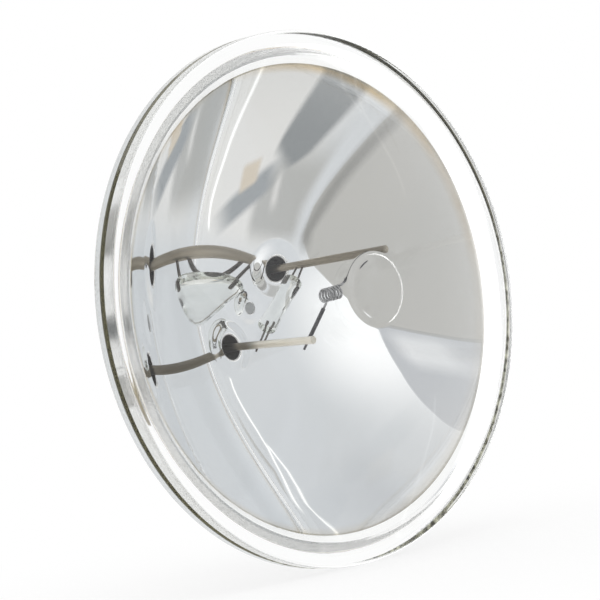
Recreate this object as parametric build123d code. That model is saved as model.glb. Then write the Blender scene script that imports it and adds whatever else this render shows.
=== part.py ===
from build123d import *
import math
import os

# A sealed spot lamp: a pressed glass lens fused to a pressed glass reflector bowl, with a coil held on two
# posts near the focus and a screw terminal behind each post. All sizes are in millimetres.
#
# Each piece is drawn with the lamp's axis along Z and forward, out through the lens, as up. Height is counted
# from the seam between lens and reflector. The finished pieces are then turned so that the lens faces -Y.

# Rim
RIM_DIAMETER = 114.0
LENS_FLANGE = 3.2
REFLECTOR_FLANGE = 3.1
FLANGE_WIDTH = 6.4
RIM_ROUND = 0.8
SEAM_WIDTH = 1.1
SEAM_DEPTH = 0.7

# Lens
DOME_RISE = 15.3
DOME_SETBACK = 2.7
DOME_FOOT_ROUND = 1.2
LENS_WALL = 4.4
BUTTON_DIAMETER = 15.6
BUTTON_HEIGHT = 0.6
BUTTON_SLOPE = 0.9
BUTTON_ROUND = 0.3

# Reflector bowl and its mirror film
FOCAL_LENGTH = 28.0
BOWL_WALL = 4.5
NECK_ROUND = 2.0
FILM_THICKNESS = 0.1
FILM_SETBACK = 1.4
BARE_RING = 0.15

# Post holes, the swell of the glass round them, their bosses and the ferrules sealed into them
POST_SPACING = 22.3
POST_ANGLE = 43.3
POST_HOLE_DIAMETER = 6.0
SWELL_DIAMETER = 13.2
SWELL_RISE = 1.0
BOSS_WALL = 2.2
BOSS_HEIGHT = 1.4
FERRULE_DIAMETER = 8.2
FERRULE_WALL = 0.4
FERRULE_HEIGHT = 6.0
FERRULE_ROUND = 1.1
SHOULDER_ROUND = 0.6
SLEEVE_SETBACK = 0.2
SEAL_FILM = 0.05

# Exhaust tube, melted shut at its tip
TUBE_DIAMETER = 6.0
TUBE_BORE = 2.6
TUBE_STRAIGHT = 2.2
TUBE_LENGTH = 7.0
TUBE_TIP_WALL = 2.5
TUBE_PAD_MARGIN = 1.2

# Posts
POST_DIAMETER = 1.65
POST_TIP_CHAMFER = 0.2
POST_BEND_RADIUS = 12.0
UPPER_POST_LENS_GAP = 1.6
UPPER_POST_SIDE_LEAN = 0.8
UPPER_POST_RISE_LEAN = 0.3
LOWER_POST_PAST_COIL = 1.2
LOWER_POST_SIDE_LEAN = 0.3
LOWER_POST_RISE_LEAN = -0.7

# Filament
WIRE_DIAMETER = 0.5
COIL_DIAMETER = 3.0
COIL_PITCH = 0.84
COIL_TURNS = 5.5
COIL_TILT = 5.0
COIL_LIFT = 0.5
COIL_SETBACK = 1.7
LEG_BEND_RADIUS = 0.45
LEG_LEAD = 0.8
LEG_TAIL = 1.3
LEG_SLEEVE_DIAMETER = 0.85
LEG_SLEEVE_GAP = 1.6
UPPER_LEG_FORWARD = 2.4
LOWER_LEG_FORWARD = -2.2
WELD_FILM = 0.05

# Terminals
TERMINAL_SPACING = 46.0
TERMINAL_RISE = 6.0
TERMINAL_WIDTH = 9.0
TERMINAL_THICKNESS = 1.2
TERMINAL_BEND = 1.8
TERMINAL_CORNER = 2.5
TAB_MARGIN = 5.0
COLLAR_WALL = 1.1
COLLAR_HEIGHT = 1.8

# Terminal screws and washers
SCREW_DIAMETER = 4.16
SCREW_LENGTH = 6.4
SCREW_TIP_CHAMFER = 0.5
HEAD_DIAMETER = 7.8
HEAD_HEIGHT = 2.3
HEAD_EDGE = 1.0
SLOT_WIDTH = 1.1
SLOT_DEPTH = 1.2
WASHER_DIAMETER = 9.0
WASHER_THICKNESS = 0.8
WASHER_PLAY = 0.25
THREAD_CLEARANCE = 0.05

# What follows from the sizes above
rim_radius = RIM_DIAMETER / 2
mouth_radius = rim_radius - FLANGE_WIDTH
dome_base = rim_radius - DOME_SETBACK
dome_radius = (dome_base**2 + DOME_RISE**2) / (2 * DOME_RISE)
dome_inside = dome_radius - LENS_WALL
dome_centre = LENS_FLANGE + DOME_RISE - dome_radius
vertex = -(mouth_radius**2) / (4 * FOCAL_LENGTH)
bowl_back = vertex - BOWL_WALL
boss_face = bowl_back - BOSS_HEIGHT
post_radius = POST_DIAMETER / 2
post_offset = POST_SPACING / 2
hole_radius = POST_HOLE_DIAMETER / 2
swell_radius = SWELL_DIAMETER / 2
swell_ball = 1 / (2 * SWELL_RISE / swell_radius**2 - 1 / (2 * FOCAL_LENGTH))
ferrule_outside = FERRULE_DIAMETER / 2
ferrule_inside = ferrule_outside - FERRULE_WALL
sleeve_outside = hole_radius - SEAL_FILM
crown = boss_face - FERRULE_HEIGHT
tube_radius = TUBE_DIAMETER / 2
bore_radius = TUBE_BORE / 2
screw_radius = SCREW_DIAMETER / 2
screw_offset = TERMINAL_SPACING / 2
tab_back = crown - TERMINAL_RISE
head_seat = tab_back - WASHER_THICKNESS

ENDS = {"upper": POST_ANGLE, "lower": POST_ANGLE + 180}
LENS_FORWARD = Rot(X=90)


def dome_height(radius, sphere):
    """Height of the dome's sphere, outside or inside, at a radius from the axis."""
    return dome_centre + math.sqrt(sphere**2 - radius**2)


def bowl_height(radius):
    """Height of the mirror's parabola at a radius from the axis."""
    return vertex + radius**2 / (4 * FOCAL_LENGTH)


def bowl_curve(radius, shift):
    """The parabola from the axis to a radius, moved along the axis, as a curve with one control point."""
    edge = (radius, bowl_height(radius) + shift)
    return Bezier((0, vertex + shift), (radius / 2, vertex + shift), edge)


def dome_arc(outer, inner, sphere, lift=0):
    """The part of the dome's sphere between two radii, from the outer to the inner one."""
    points = [(r, dome_height(r, sphere) + lift) for r in (outer, (outer + inner) / 2, inner)]
    return ThreePointArc(*points)


def turned(outline):
    """The solid that an outline of (radius, height) edges sweeps in one turn about the axis."""
    return revolve(Plane.XZ * outline, Axis.Z)


def corner(outline, point):
    """The outline's corner nearest to a point."""
    return outline.vertices().sort_by_distance((*point, 0))[0]


def around_post(angle):
    """Where a post stands: on the post circle, with X pointing outwards from the axis."""
    return Rot(Z=angle) * Pos(X=post_offset)


def mouth_space(shift):
    """The space inside the mirror, from its curve up to the seam, moved along the axis.

    The curve is the parabola, with a swell round each post hole: the cap of a ball, square to the mirror there.
    """
    top = Polyline((mouth_radius, shift), (0, shift), (0, vertex + shift))
    space = turned(make_face([bowl_curve(mouth_radius, shift)] + top.edges()))
    slope = math.degrees(math.atan2(post_offset, 2 * FOCAL_LENGTH))
    ball = Rot(Y=-slope) * Pos(Z=SWELL_RISE - swell_ball) * Sphere(swell_ball)
    for angle in ENDS.values():
        space -= around_post(angle) * Pos(Z=bowl_height(post_offset) + shift) * ball
    return space


def make_lens():
    """Dome and flange in one pressing, with a round button at the middle of the dome."""
    seal_inside = math.sqrt(dome_inside**2 - dome_centre**2)
    button_foot = BUTTON_DIAMETER / 2
    button_edge = button_foot - BUTTON_SLOPE
    foot = (button_foot, dome_height(button_foot, dome_radius))
    edge = (button_edge, dome_height(button_edge, dome_radius) + BUTTON_HEIGHT)
    flange = Polyline(
        (seal_inside, 0),
        (rim_radius - SEAM_DEPTH, 0),
        (rim_radius, SEAM_WIDTH / 2),
        (rim_radius, LENS_FLANGE),
        (dome_base, LENS_FLANGE),
    )
    outline = make_face(
        flange.edges()
        + [
            dome_arc(dome_base, button_foot, dome_radius),
            Line(foot, edge),
            dome_arc(button_edge, 0, dome_radius, BUTTON_HEIGHT),
            Line((0, dome_centre + dome_radius + BUTTON_HEIGHT), (0, dome_centre + dome_inside)),
            dome_arc(seal_inside, 0, dome_inside),
        ]
    )
    outline = fillet(corner(outline, (rim_radius, LENS_FLANGE)), RIM_ROUND)
    outline = fillet(corner(outline, (dome_base, LENS_FLANGE)), DOME_FOOT_ROUND)
    outline = fillet(corner(outline, foot), BUTTON_ROUND)
    outline = fillet(corner(outline, edge), BUTTON_ROUND)
    return turned(outline)


def make_reflector():
    """Parabolic bowl and flange in one pressing, with bosses behind for the ferrules and the exhaust tube.

    The blank is full up to the seam, and the space inside the mirror is then taken out of it.
    """
    neck = math.sqrt(4 * FOCAL_LENGTH * (-REFLECTOR_FLANGE - bowl_back))
    flange = Polyline(
        (0, bowl_back),
        (0, 0),
        (rim_radius - SEAM_DEPTH, 0),
        (rim_radius, -SEAM_WIDTH / 2),
        (rim_radius, -REFLECTOR_FLANGE),
        (neck, -REFLECTOR_FLANGE),
    )
    outline = make_face(flange.edges() + [bowl_curve(neck, -BOWL_WALL)])
    outline = fillet(corner(outline, (rim_radius, -REFLECTOR_FLANGE)), RIM_ROUND)
    bowl = turned(outline)
    bowl = fillet(bowl.edges().sort_by_distance((neck, 0, -REFLECTOR_FLANGE))[0], NECK_ROUND)

    base = (Align.CENTER, Align.CENTER, Align.MIN)
    boss_radius = ferrule_outside + BOSS_WALL
    boss = Pos(Z=boss_face) * Cylinder(boss_radius, vertex - boss_face, align=base)
    pad = Pos(Z=boss_face) * Cylinder(tube_radius + TUBE_PAD_MARGIN, vertex - boss_face, align=base)
    bowl += pad
    for angle in ENDS.values():
        bowl += around_post(angle) * boss

    bowl -= mouth_space(0)
    depth = -boss_face
    bowl -= Pos(Z=boss_face) * Cylinder(bore_radius, depth, align=base)
    hole = Pos(Z=boss_face) * Cylinder(hole_radius, depth, align=base)
    for angle in ENDS.values():
        bowl -= around_post(angle) * hole
    return bowl


def make_mirror_coating():
    """Aluminium film on the inside of the bowl, stopping short of the mouth and of each hole."""
    film = mouth_space(SEAL_FILM) - mouth_space(SEAL_FILM + FILM_THICKNESS)
    film &= Pos(Z=vertex) * Cylinder(mouth_radius - FILM_SETBACK, -2 * vertex)
    film -= Pos(Z=vertex) * Cylinder(bore_radius + BARE_RING, -vertex)
    for angle in ENDS.values():
        film -= around_post(angle) * Pos(Z=vertex) * Cylinder(hole_radius + BARE_RING, -vertex)
    return film


def make_ferrule(angle):
    """Drawn cup behind the boss, with a narrower sleeve that lines the post hole up to the mirror."""
    sleeve_inside = sleeve_outside - FERRULE_WALL
    shoulder = boss_face - SEAL_FILM
    under_shoulder = shoulder - FERRULE_WALL
    floor = crown + FERRULE_WALL
    top = bowl_height(post_offset + hole_radius) + SWELL_RISE
    cup = Polyline(
        (0, crown),
        (ferrule_outside, crown),
        (ferrule_outside, shoulder),
        (sleeve_outside, shoulder),
        (sleeve_outside, top),
        (sleeve_inside, top),
        (sleeve_inside, under_shoulder),
        (ferrule_inside, under_shoulder),
        (ferrule_inside, floor),
        (0, floor),
        close=True,
    )
    outline = make_face(cup.edges())
    outline = fillet(corner(outline, (ferrule_outside, crown)), FERRULE_ROUND)
    outline = fillet(corner(outline, (ferrule_inside, floor)), FERRULE_ROUND - FERRULE_WALL)
    outline = fillet(corner(outline, (ferrule_outside, shoulder)), SHOULDER_ROUND)
    outline = fillet(corner(outline, (ferrule_inside, under_shoulder)), SHOULDER_ROUND - FERRULE_WALL)
    return around_post(angle) * turned(outline) - mouth_space(-SLEEVE_SETBACK)


def make_exhaust_tube():
    """Stub of glass tube on its pad, drawn to a point where it was melted shut."""
    shoulder = boss_face - TUBE_STRAIGHT
    tip = boss_face - TUBE_LENGTH
    stub = Polyline((bore_radius, boss_face), (tube_radius, boss_face), (tube_radius, shoulder))
    bore_end = tip + TUBE_TIP_WALL
    bore = Polyline((0, bore_end), (bore_radius, bore_end + bore_radius), (bore_radius, boss_face))
    end = Bezier((tube_radius, shoulder), (tube_radius, tip), (0, tip))
    return turned(make_face(stub.edges() + [end, Line((0, tip), (0, bore_end))] + bore.edges()))


def post_foot(angle):
    """Middle of a post's foot, on the inside of its ferrule's crown."""
    turn = math.radians(angle)
    return Vector(post_offset * math.cos(turn), post_offset * math.sin(turn), crown + FERRULE_WALL)


def coil_middle():
    """Middle of the coil, a little behind the mirror's focus and a little above the axis."""
    return Vector(0, COIL_LIFT, vertex + FOCAL_LENGTH - COIL_SETBACK)


def post_tip(end):
    """Middle of a post's free end."""
    foot = post_foot(ENDS[end])
    if end == "upper":
        height = dome_height(post_offset, dome_inside) - UPPER_POST_LENS_GAP
        lean = Vector(UPPER_POST_SIDE_LEAN, UPPER_POST_RISE_LEAN)
    else:
        height = coil_middle().Z + LOWER_POST_PAST_COIL
        lean = Vector(LOWER_POST_SIDE_LEAN, LOWER_POST_RISE_LEAN)
    return Vector(foot.X + lean.X, foot.Y + lean.Y, height)


def post_bend(end):
    """Where a post starts to lean, level with the mirror around it."""
    foot = post_foot(ENDS[end])
    return Vector(foot.X, foot.Y, bowl_height(post_offset))


def make_post(end):
    """Rod that stands straight in its ferrule and leans a little once it is clear of the glass."""
    path = FilletPolyline(post_foot(ENDS[end]), post_bend(end), post_tip(end), radius=POST_BEND_RADIUS)
    rod = sweep(Plane(path @ 0, z_dir=path % 0) * Circle(post_radius), path=path)
    free_end = rod.faces().sort_by_distance(post_tip(end))[0]
    return chamfer(free_end.edges(), POST_TIP_CHAMFER)


def weld_point(end, height, start):
    """Where a leg that runs straight from a start passes a post, just touching it on its far side."""
    rod = post_tip(end) - post_bend(end)
    centre = post_bend(end) + rod * ((height - post_bend(end).Z) / rod.Z)
    aside = rod.cross(centre - start).normalized()
    if aside.X < 0:
        aside = -aside
    return centre + aside * (post_radius + LEG_SLEEVE_DIAMETER / 2 + WELD_FILM)


def make_filament():
    """One wire: a sleeved leg welded to the lower post, the coil, and a sleeved leg welded to the upper post."""
    length = COIL_PITCH * COIL_TURNS
    coil_radius = (COIL_DIAMETER - WIRE_DIAMETER) / 2
    tilt = math.radians(COIL_TILT)
    along = Vector(math.cos(tilt), math.sin(tilt), 0)
    down = Vector(math.sin(tilt), -math.cos(tilt), 0)
    coil_start = Plane(coil_middle() - along * (length / 2), x_dir=down, z_dir=along)
    half_turn = Helix(COIL_PITCH, COIL_PITCH / 2, coil_radius)
    half_turns = [Pos(Z=k * COIL_PITCH / 2) * Rot(Z=180 * k) * half_turn for k in range(round(2 * COIL_TURNS))]
    coil = Wire([coil_start * half for half in half_turns])

    lower_start = coil @ 0 - (coil % 0) * LEG_LEAD
    upper_start = coil @ 1 + (coil % 1) * LEG_LEAD
    lower_weld = weld_point("lower", coil_middle().Z + LOWER_LEG_FORWARD, lower_start)
    upper_weld = weld_point("upper", coil_middle().Z + UPPER_LEG_FORWARD, upper_start)
    lower_run = (lower_weld - lower_start).normalized()
    upper_run = (upper_weld - upper_start).normalized()
    lower_end = lower_weld + lower_run * LEG_TAIL
    upper_end = upper_weld + upper_run * post_radius
    lower_leg = FilletPolyline(lower_end, lower_start, coil @ 0, radius=LEG_BEND_RADIUS)
    upper_leg = FilletPolyline(coil @ 1, upper_start, upper_end, radius=LEG_BEND_RADIUS)
    path = Wire(lower_leg.edges() + coil.edges() + upper_leg.edges())
    filament = sweep(Plane(path @ 0, z_dir=path % 0) * Circle(WIRE_DIAMETER / 2), path=path)
    base = (Align.CENTER, Align.CENTER, Align.MIN)
    for start, run, tip in ((lower_start, lower_run, lower_end), (upper_start, upper_run, upper_end)):
        length = (tip - start).length - 2 * LEG_SLEEVE_GAP
        sleeve = Cylinder(LEG_SLEEVE_DIAMETER / 2, length, align=base)
        filament += Plane(start + run * LEG_SLEEVE_GAP, z_dir=run) * sleeve
    return filament


def make_terminal():
    """Strap bent in a Z: its foot on the ferrule's crown, its tab out at the screw, with a tapped collar."""
    riser = post_offset + ferrule_outside - TERMINAL_THICKNESS / 2
    foot_level = crown - TERMINAL_THICKNESS / 2
    tab_level = tab_back + TERMINAL_THICKNESS / 2
    path = FilletPolyline(
        (post_offset - ferrule_outside, foot_level),
        (riser, foot_level),
        (riser, tab_level),
        (screw_offset + TAB_MARGIN, tab_level),
        radius=TERMINAL_BEND,
    )
    strap = extrude(Plane.XZ * trace(path, TERMINAL_THICKNESS), TERMINAL_WIDTH / 2, both=True)
    upright = strap.edges().filter_by(Axis.Z)
    ends = upright.group_by(Axis.X)[0] + upright.group_by(Axis.X)[-1]
    strap = fillet(ends, TERMINAL_CORNER)
    tap_radius = screw_radius + THREAD_CLEARANCE
    base = (Align.CENTER, Align.CENTER, Align.MIN)
    at_screw = Pos(X=screw_offset, Z=tab_back)
    strap += at_screw * Cylinder(tap_radius + COLLAR_WALL, TERMINAL_THICKNESS + COLLAR_HEIGHT, align=base)
    return strap - at_screw * Cylinder(tap_radius, TERMINAL_THICKNESS + COLLAR_HEIGHT, align=base)


def make_washer():
    """Flat washer lying on the back of the tab."""
    top = (Align.CENTER, Align.CENTER, Align.MIN)
    ring = Cylinder(WASHER_DIAMETER / 2, WASHER_THICKNESS, align=top)
    ring -= Cylinder(screw_radius + WASHER_PLAY, WASHER_THICKNESS, align=top)
    return Pos(X=screw_offset, Z=head_seat) * ring


def make_screw():
    """Slotted screw with a domed head. Its thread is left plain."""
    tip = head_seat + SCREW_LENGTH
    head_radius = HEAD_DIAMETER / 2
    edge = head_seat - HEAD_EDGE
    end = head_seat - HEAD_HEIGHT
    sphere = (head_radius**2 + (edge - end) ** 2) / (2 * (edge - end))
    half = head_radius / 2
    middle = (half, end + sphere - math.sqrt(sphere**2 - half**2))
    body = Polyline(
        (0, end),
        (0, tip),
        (screw_radius - SCREW_TIP_CHAMFER, tip),
        (screw_radius, tip - SCREW_TIP_CHAMFER),
        (screw_radius, head_seat),
        (head_radius, head_seat),
        (head_radius, edge),
    )
    screw = turned(make_face(body.edges() + [ThreePointArc((head_radius, edge), middle, (0, end))]))
    slot = Pos(Z=end) * Box(HEAD_DIAMETER, SLOT_WIDTH, 2 * SLOT_DEPTH)
    return Pos(X=screw_offset) * (screw - slot)


pieces = {
    "lens": make_lens(),
    "reflector": make_reflector(),
    "mirror_coating": make_mirror_coating(),
    "exhaust_tube": make_exhaust_tube(),
    "filament": make_filament(),
}
for end, angle in ENDS.items():
    pieces[f"lead_post_{end}"] = make_post(end)
    pieces[f"ferrule_{end}"] = make_ferrule(angle)
    pieces[f"terminal_{end}"] = Rot(Z=angle) * make_terminal()
    pieces[f"terminal_washer_{end}"] = Rot(Z=angle) * make_washer()
    pieces[f"terminal_screw_{end}"] = Rot(Z=angle) * make_screw()

os.makedirs("parts", exist_ok=True)
for name, piece in pieces.items():
    export_step(LENS_FORWARD * piece, f"parts/{name}.step")
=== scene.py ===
import math

import bmesh
import bpy
import numpy as np
from mathutils import Matrix, Vector


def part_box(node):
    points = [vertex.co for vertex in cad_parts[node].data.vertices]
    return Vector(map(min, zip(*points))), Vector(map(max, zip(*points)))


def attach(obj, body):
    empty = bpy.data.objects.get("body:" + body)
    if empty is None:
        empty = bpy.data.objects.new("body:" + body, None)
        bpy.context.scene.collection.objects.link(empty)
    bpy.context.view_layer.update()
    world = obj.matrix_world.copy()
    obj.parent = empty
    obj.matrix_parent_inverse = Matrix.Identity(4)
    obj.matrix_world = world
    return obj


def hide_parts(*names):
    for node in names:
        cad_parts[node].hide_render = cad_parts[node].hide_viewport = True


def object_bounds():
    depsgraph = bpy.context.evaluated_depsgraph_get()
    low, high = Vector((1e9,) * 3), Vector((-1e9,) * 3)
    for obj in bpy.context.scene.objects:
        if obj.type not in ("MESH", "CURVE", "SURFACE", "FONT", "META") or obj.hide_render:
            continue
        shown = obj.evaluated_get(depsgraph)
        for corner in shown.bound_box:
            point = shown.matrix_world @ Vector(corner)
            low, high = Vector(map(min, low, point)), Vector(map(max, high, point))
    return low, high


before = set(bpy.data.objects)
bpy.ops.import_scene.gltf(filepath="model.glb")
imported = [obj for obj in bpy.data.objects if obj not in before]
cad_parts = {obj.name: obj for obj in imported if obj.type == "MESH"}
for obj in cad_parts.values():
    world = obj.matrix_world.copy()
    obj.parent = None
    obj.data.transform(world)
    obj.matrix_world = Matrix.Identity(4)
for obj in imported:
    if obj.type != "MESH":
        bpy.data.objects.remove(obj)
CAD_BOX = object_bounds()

# A sealed spot lamp. Sizes are in millimetres unless they say otherwise, and MM turns them into metres.
# A glass outline is a list of (radius, forward) points: forward is counted from the seam, out through the
# lens, along -Y.
MM = 0.001

# Rim
RIM_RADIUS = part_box("lens")[1].x / MM
LENS_FLANGE = 3.2
BOWL_FLANGE = 3.1
RIM_ROUND = 0.8
SEAM_WIDTH = 1.1
SEAM_DEPTH = 0.7

# Lens
LENS_TOP = -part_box("lens")[0].y / MM
DOME_SETBACK = 2.7
DOME_FOOT_ROUND = 1.2
LENS_WALL = 4.4
BUTTON_RADIUS = 7.8
BUTTON_HEIGHT = 0.6
BUTTON_SLOPE = 0.9
BUTTON_ROUND = 1.6

# Bowl, with its post holes and the bosses behind them
FLANGE_WIDTH = 6.4
FOCAL_LENGTH = 28.0
BOWL_WALL = 4.5
NECK_ROUND = 2.0
BOSS_HEIGHT = 1.4
BOSS_RADIUS = 6.3
HOLE_RADIUS = 3.0
LIP_HEIGHT = 0.79
LIP_REACH = 3.6

# Exhaust stub, melted shut
TUBE_RADIUS = 3.0
BORE_RADIUS = 1.3
TUBE_STRAIGHT = 2.2
TUBE_LENGTH = 7.0
TUBE_TIP_WALL = 2.5
PAD_RADIUS = 4.2
BORE_LIP_HEIGHT = 0.5
BORE_LIP_REACH = 3.0

# Mirror film
FILM_LIFT = 0.05
FILM_THICKNESS = 0.1
FILM_SETBACK = 1.4
BARE_RING = 0.15

# Posts
POST_ANGLE = math.radians(43.3)
POST_OFFSET = 11.15

# The bridge that holds the posts apart. A point is (along, forward, across): along counts from the axis
# towards the upper post, and across counts from the plane of both posts, to the upper left.
BEAD_ENDS = (-6.6, 7.6)
BEAD_FORWARD = -13.4
BEAD_ACROSS = -0.55
BEAD_WAIST = 1.85
BEAD_SWELL = 0.45
BEAD_BLUNTNESS = 12
WIRE_RADIUS = 0.22
WIRE_BLUNTNESS = 40
BRIDGE_WIRES = (
    [(11.2, -14.4, -0.3), (9.2, -14.5, -0.35), (5.5, -14.6, -0.5)],
    [(11.2, -12.7, -0.4), (8.8, -12.9, -0.75), (5.2, -12.2, -1.2)],
    [(-12.1, -13.6, -1.4), (-8.0, -13.5, -0.9), (-4.6, -13.9, -0.6)],
    [(-11.3, -12.2, -1.2), (-7.5, -12.2, -1.0), (-4.4, -12.8, -0.9)],
)

# What follows from them
DOME_BASE = RIM_RADIUS - DOME_SETBACK
MOUTH_RADIUS = RIM_RADIUS - FLANGE_WIDTH
FILM_EDGE = MOUTH_RADIUS - FILM_SETBACK
DOME_RISE = LENS_TOP - LENS_FLANGE - BUTTON_HEIGHT
DOME_RADIUS = (DOME_BASE**2 + DOME_RISE**2) / (2 * DOME_RISE)
DOME_CENTRE = LENS_FLANGE + DOME_RISE - DOME_RADIUS
DOME_INSIDE = DOME_RADIUS - LENS_WALL
SEAL_INSIDE = math.sqrt(DOME_INSIDE**2 - DOME_CENTRE**2)
VERTEX = -(MOUTH_RADIUS**2) / (4 * FOCAL_LENGTH)
BOWL_BACK = VERTEX - BOWL_WALL
BOSS_FACE = BOWL_BACK - BOSS_HEIGHT
NECK_RADIUS = math.sqrt(4 * FOCAL_LENGTH * (-BOWL_FLANGE - BOWL_BACK))

# How finely the surfaces are divided. The heart is the middle of the bowl, between the cells of the post
# holes, and the rows round a hole lie closer together towards it.
TURN_STEPS = 240
ROUND_STEPS = 10
HEART_STEPS = 14
BOWL_STEPS = 40
FILM_STEPS = 60
LENS_INSIDE_STEPS = 60
CAP_STEPS = 14
DOME_STEPS = 56
BACK_STEPS = 36
MELT_STEPS = 14
HOLE_ROWS = 16
FILM_HOLE_ROWS = 24
BOSS_ROWS = 6
ROW_CROWDING = 1.5
BEAD_ROWS = 48
BEAD_TURN_STEPS = 40
WIRE_ROWS = 24
WIRE_TURN_STEPS = 16
SHARP_ANGLE = math.radians(35)

# Points nearer to each other than this, in metres, are merged, and thinner slivers are dissolved
MERGE_DISTANCE = 1e-6
SLIVER_WIDTH = 1e-7

# Room that the plain outline leaves beside a corner for its round
BUTTON_ROOM = 0.6
FOOT_ROOM = 1.5
NECK_ROOM = 1.5

# The cell of the bowl's grid round each post hole, whose place a ring of rows takes
CELL_INNER = 4.45
CELL_OUTER = 18.3
CELL_HALF_STEPS = 26
CELL_ROWS = 22
CELL_RADII = np.linspace(CELL_INNER, CELL_OUTER, CELL_ROWS + 1)


def in_frame(radius, angle, forward):
    """Points of the frame, in metres, from a radius and an angle about the axis and a forward distance."""
    x = radius * np.cos(angle)
    z = radius * np.sin(angle)
    y = -forward + 0 * x
    return np.stack(np.broadcast_arrays(x, y, z), axis=-1) * MM


def piece_from(name, points, faces, body, material, replaced=()):
    """A finished piece: arrays into a mesh, doubled seams merged, faces turned outwards, shaded smooth."""
    used, places = np.unique(faces, return_inverse=True)
    mesh = bpy.data.meshes.new(name)
    mesh.from_pydata(points[used], [], places.reshape(faces.shape))
    build = bmesh.new()
    build.from_mesh(mesh)
    bmesh.ops.remove_doubles(build, verts=build.verts, dist=MERGE_DISTANCE)
    bmesh.ops.dissolve_degenerate(build, edges=build.edges, dist=SLIVER_WIDTH)
    bmesh.ops.recalc_face_normals(build, faces=build.faces)
    build.to_mesh(mesh)
    build.free()
    mesh.shade_smooth()
    mesh.set_sharp_from_angle(angle=SHARP_ANGLE)
    piece = bpy.data.objects.new(name, mesh)
    bpy.context.scene.collection.objects.link(piece)
    piece.data.materials.append(material)
    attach(piece, body)
    if replaced:
        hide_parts(*replaced)


def grid_faces(rows, columns, closed_rows=False, closed_columns=False):
    """Quads of a grid of points numbered row by row, either way open or closed on itself."""
    row = np.arange(rows if closed_rows else rows - 1)
    column = np.arange(columns if closed_columns else columns - 1)
    r, c = np.meshgrid(row, column, indexing="ij")
    right = (c + 1) % columns
    below = (r + 1) % rows
    corners = [r * columns + c, r * columns + right, below * columns + right, below * columns + c]
    return np.stack(corners, axis=-1)


def rounded(before, corners, after):
    """Outline round (radius, forward, round) corners, without the points before and after them.

    An arc that touches both sides replaces each corner that has a round.
    """
    spots = np.array([before, *[corner[:2] for corner in corners], after], float)
    outline = []
    for last, spot, following, (_, _, size) in zip(spots, spots[1:], spots[2:], corners):
        if size == 0:
            outline.append(spot[None])
            continue
        back = (last - spot) / np.linalg.norm(last - spot)
        ahead = (following - spot) / np.linalg.norm(following - spot)
        half = math.acos(np.dot(back, ahead)) / 2
        middle = (back + ahead) / np.linalg.norm(back + ahead)
        centre = spot + middle * size / math.sin(half)
        start = spot + back * size / math.tan(half) - centre
        end = spot + ahead * size / math.tan(half) - centre
        sweep = math.pi - 2 * half
        share = np.linspace(0, 1, ROUND_STEPS)[:, None]
        swung = np.sin((1 - share) * sweep) * start + np.sin(share * sweep) * end
        outline.append(centre + swung / math.sin(sweep))
    return np.concatenate(outline)


def dome_height(radius, sphere):
    """Forward distance of the dome at a radius: its sphere's centre plus the leg of a right triangle."""
    return DOME_CENTRE + np.sqrt(sphere**2 - radius**2)


def bowl_height(radius):
    """Forward distance of the mirror at a radius: its vertex plus radius squared over four focal lengths."""
    return VERTEX + radius**2 / (4 * FOCAL_LENGTH)


def lip(near, edge, height, reach):
    """The swell round a hole: the square of a parabola that falls to zero at a reach from the edge."""
    fall = np.clip((near - edge) / reach, 0, 1)
    return height * (1 - fall**2) ** 2


def hole_lip(near):
    """The swell round a post hole."""
    return lip(near, HOLE_RADIUS, LIP_HEIGHT, LIP_REACH)


def bore_lip(near):
    """The swell round the exhaust bore."""
    return lip(near, BORE_RADIUS, BORE_LIP_HEIGHT, BORE_LIP_REACH)


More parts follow.
